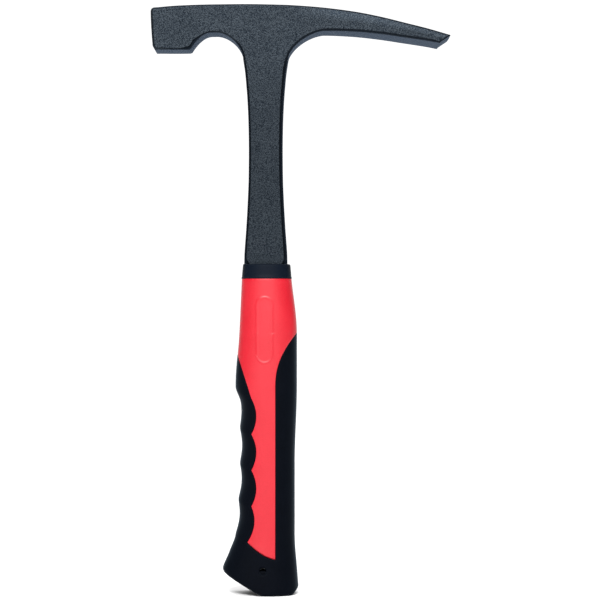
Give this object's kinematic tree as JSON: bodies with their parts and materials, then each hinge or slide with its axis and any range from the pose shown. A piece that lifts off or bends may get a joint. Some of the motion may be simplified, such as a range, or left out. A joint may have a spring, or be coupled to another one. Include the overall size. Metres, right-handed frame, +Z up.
{
  "type": "brick hammer",
  "caption": "Mason's brick hammer: a steel forging with a square striking face and a curved chisel claw, and a moulded handle with finger grip, collar and hanging hole.",
  "frame": {"origin": "where the shank's axis meets the flat of the butt that the handle stands on", "axes": "+Z up the shank towards the head, +X to the claw's cutting edge, -X to the striking face, Y through the thickness"},
  "size_m": [0.1665, 0.031, 0.3286],
  "materials": {
    "forged_steel": "shot-blasted dark grey steel with a fine speckle",
    "handle_plastic": "satin red hard plastic",
    "grip_rubber": "matt black soft rubber",
    "collar_rubber": "smooth matt black rubber"
  },
  "bodies": {
    "root": {"forged_hammer": "forged_steel", "collar": "collar_rubber", "handle_core": "handle_plastic", "grip": "grip_rubber"}
  },
  "joints": []
}
